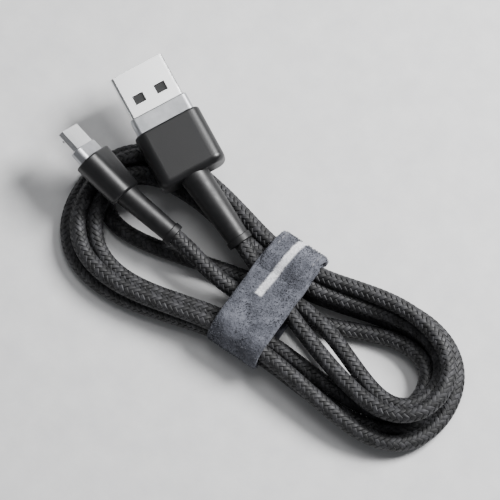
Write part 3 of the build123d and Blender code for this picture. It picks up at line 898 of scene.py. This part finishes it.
def tail_stitches(material):
    """A line of lock stitches just inside the loose end's edge: each is a short thread, round in
    section, that rises out of the cloth and dips back into it."""
    _, distance, _ = tail_path()
    inner = tail_width / 2 - stitch_margin
    rows = np.arange(distance[-1] - stitch_margin, tail_rise + 1.0, -stitch_pitch)[1:]
    spots = [(side * inner, at, 0.0, 1.0) for side in (-1, 1) for at in rows]
    spots += [(x, distance[-1] - stitch_margin, 1.0, 0.0)
              for x in np.arange(-inner + stitch_pitch / 2, inner, stitch_pitch)]
    f = np.linspace(-0.5, 0.5, 6)
    turn = np.arange(6) * math.tau / 6
    parts = []
    for across, at, go_across, go_along in spots:
        run = f * stitch_length
        points, outs = tail_surface(across + run * go_across, at + run * go_along)
        points = points + outs * (0.14 - 0.9 * f**2)[:, None]
        sides = np.tile([go_along, 0.0, 0.0], (6, 1)) + go_across * np.cross(outs, (1.0, 0.0, 0.0))
        ring = points[:, None] + stitch_radius * (
            np.cos(turn)[None, :, None] * sides[:, None] + np.sin(turn)[None, :, None] * outs[:, None])
        parts.append(swept(strap_to_frame(ring))[:3])
    return new_piece("strap_stitching", *joined(parts), material)


def pile_tufts(name, roots, outs, sides, material, seed):
    """Short brushed fibres: each is a three-sided blade from its root to a point, leaning at random.
    The blades are drawn three times as thick as a real fibre so that they show."""
    chance = np.random.default_rng(seed)
    count = len(roots)
    across = np.cross(outs, sides)
    tilt = chance.normal(0, 0.55, (count, 1)) * sides + chance.normal(0, 0.55, (count, 1)) * across
    height = chance.uniform(0.18, 0.42, (count, 1))
    thick = chance.uniform(0.05, 0.08, (count, 1))
    angle = np.arange(3) * math.tau / 3
    ring = np.cos(angle)[None, :, None] * sides[:, None] + np.sin(angle)[None, :, None] * across[:, None]
    base = roots[:, None] - 0.1 * outs[:, None] + ring * thick[:, None]
    middle = (roots + height * 0.55 * (outs + 0.5 * tilt))[:, None] + ring * thick[:, None] * 0.8
    tip = (roots + height * (outs * 0.8 + tilt))[:, None]
    points = np.concatenate([base, middle, tip], 1).reshape(-1, 3)
    quads = np.array([[0, 1, 4, 3], [1, 2, 5, 4], [2, 0, 3, 5]])
    ends = np.array([[3, 4, 6], [4, 5, 6], [5, 3, 6], [0, 2, 1]])
    first = (np.arange(count) * 7)[:, None, None]
    quads, ends = (quads[None] + first).reshape(-1, 4), (ends[None] + first).reshape(-1, 3)
    return new_piece(name, points, quads, ends, material)


def band_pile(material):
    """Pile all over the wrap's outer face above the floor."""
    chance = np.random.default_rng(3)
    count = 5200
    place, out, _ = loop_outline(strap_thickness, 600)
    pick = chance.integers(0, 600, count)
    pick = pick[place[pick, 1] > strap_thickness]
    width = chance.uniform(-strap_width / 2, strap_width / 2, len(pick))
    sink = edge_drop(width, strap_width)
    y = place[pick, 0] - out[pick, 0] * sink
    z = place[pick, 1] - out[pick, 1] * sink
    covered = (y > strap_cavity[0] / 2 - strap_corner - 2.0) & (np.abs(width) < tail_width / 2)
    show = ~covered & ~under_print(width, y)
    roots = strap_to_frame(np.stack([width, y, z], -1)[show])
    flat_out = np.stack([np.zeros(len(pick)), out[pick, 0], out[pick, 1]], -1)[show]
    outs = strap_to_frame(flat_out) - strap_to_frame(np.zeros_like(flat_out))
    return pile_tufts("strap_pile", roots, outs, across_strap(len(outs)), material, 4)


# ---------------------------------------------------------------- the room

def build_room():
    """Pale floor, a soft key lamp to the upper right, a weaker broad one overhead, and an even sky."""
    size = 0.9
    corners = [(-size, -size, 0), (size, -size, 0), (size, size, 0), (-size, size, 0)]
    mesh = bpy.data.meshes.new("floor")
    mesh.from_pydata(corners, [], [(0, 1, 2, 3)])
    mesh.materials.append(paper_floor())
    floor = bpy.data.objects.new("floor", mesh)
    bpy.context.scene.collection.objects.link(floor)
    lamps = [
        ("key_lamp", (0.14, 0.29, 0.34), 0.18, 5.4),
        ("top_lamp", (-0.11, 0.15, 0.62), 0.26, 1.05),
    ]
    for name, place, width, power in lamps:
        light = bpy.data.lights.new(name, "AREA")
        light.size = width
        light.energy = power
        lamp = bpy.data.objects.new(name, light)
        lamp.location = place
        lamp.rotation_euler = Vector(place).to_track_quat("Z", "Y").to_euler()
        bpy.context.scene.collection.objects.link(lamp)
    world = bpy.data.worlds.new("pale_room")
    world.use_nodes = True
    world.node_tree.nodes["Background"].inputs["Color"].default_value = linear("#f4f6fa")
    world.node_tree.nodes["Background"].inputs["Strength"].default_value = 0.2
    bpy.context.scene.world = world


def build_camera():
    """A long lens looking steeply down, so that the hank runs from the upper left to the lower
    right."""
    azimuth, elevation = math.radians(37), math.radians(73)
    view_width = 103.30578512396694
    distance = 1.0
    sensor_width = 36
    hank_middle = Vector((0.45, -1.5, 0))
    hank_right_of_middle, hank_below_middle = 2.48, 8.26
    right = Vector((math.cos(azimuth), math.sin(azimuth), 0))
    ahead = Vector((-math.sin(azimuth) * math.cos(elevation), math.cos(azimuth) * math.cos(elevation),
                    -math.sin(elevation)))
    upward = right.cross(ahead)
    aim = (hank_middle - hank_right_of_middle * right + hank_below_middle * upward) * MM
    data = bpy.data.cameras.new("camera")
    data.sensor_width = sensor_width
    data.lens = sensor_width * distance / (view_width * MM)
    data.clip_end = 10
    camera = bpy.data.objects.new("camera", data)
    turn = Matrix((right, upward, -ahead)).transposed().to_4x4()
    camera.matrix_world = Matrix.Translation(aim - ahead * distance) @ turn
    bpy.context.scene.collection.objects.link(camera)
    bpy.context.scene.camera = camera


# ---------------------------------------------------------------- putting it together

build_camera()
build_room()

line = cable_line()
cable_jacket, jacket_path = jacket(line, extruded_pvc())
dark_yarn = braided_yarn("black_braided_polyester", "#080809", "#202022")
grey_yarn = braided_yarn("charcoal_braided_polyester", "#131315", "#363639")
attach(cable_jacket, "root")
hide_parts("cable_hank", "cable_lead_usb_a", "cable_lead_micro")
for hand, hand_name in ((1, "right"), (-1, "left")):
    for group, yarn in (((0, 1, 4, 5), dark_yarn), ((2, 3, 6, 7), grey_yarn)):
        name = f"cable_braid_{hand_name}_{group[0] + 1}"
        piece = yarns(name, line, group, hand, yarn)
        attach(piece, "root")

loop_cloth = knitted_loop()
band, band_length = strap_band(loop_cloth)
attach(band, "root")
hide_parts("strap_wrap")
pile_material = loop_pile()
pile = band_pile(pile_material)
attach(pile, "root")

tail, tail_length = strap_tail(loop_cloth)
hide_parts("strap_tail")
tail_fuzz = tail_pile(pile_material)
stitching = tail_stitches(sewing_thread())
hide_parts("strap_stitches")

# The loose end is shaped round the wrap's upper corner, from just inside it to just outside it; it, its
# pile and its stitching have their places baked into their meshes
for piece in (tail, tail_fuzz, stitching):
    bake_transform(piece)

finishes = {
    rolled_steel(): ["usb_a_shell", "micro_shell"],
    blasted_aluminium(): ["usb_a_collar", "micro_collar"],
    stamped_shield(): ["usb_a_rear_shield", "usb_a_crimp_ring", "micro_crimp_ring", "micro_latch_left",
                       "micro_latch_right"],
    plated_gold(): ["usb_a_contacts", "micro_contacts"],
    drawn_copper(): ["usb_a_wire_ends", "micro_wire_ends"],
    moulded_carrier(): ["usb_a_tongue", "micro_insulator"],
    moulded_polyethylene(): ["usb_a_inner_mould", "micro_inner_mould"],
    moulded_abs(): ["usb_a_casing", "micro_casing"],
    moulded_tpe(): ["usb_a_strain_relief", "micro_strain_relief"],
    moulded_ring(): ["usb_a_end_ring", "micro_end_ring"],
    core_pvc(): ["usb_a_cable_core", "micro_cable_core"],
    moulded_hooks(): ["strap_hook_patch"],
}
for material, names in finishes.items():
    for name in names:
        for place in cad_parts[name].material_slots:
            place.material = material
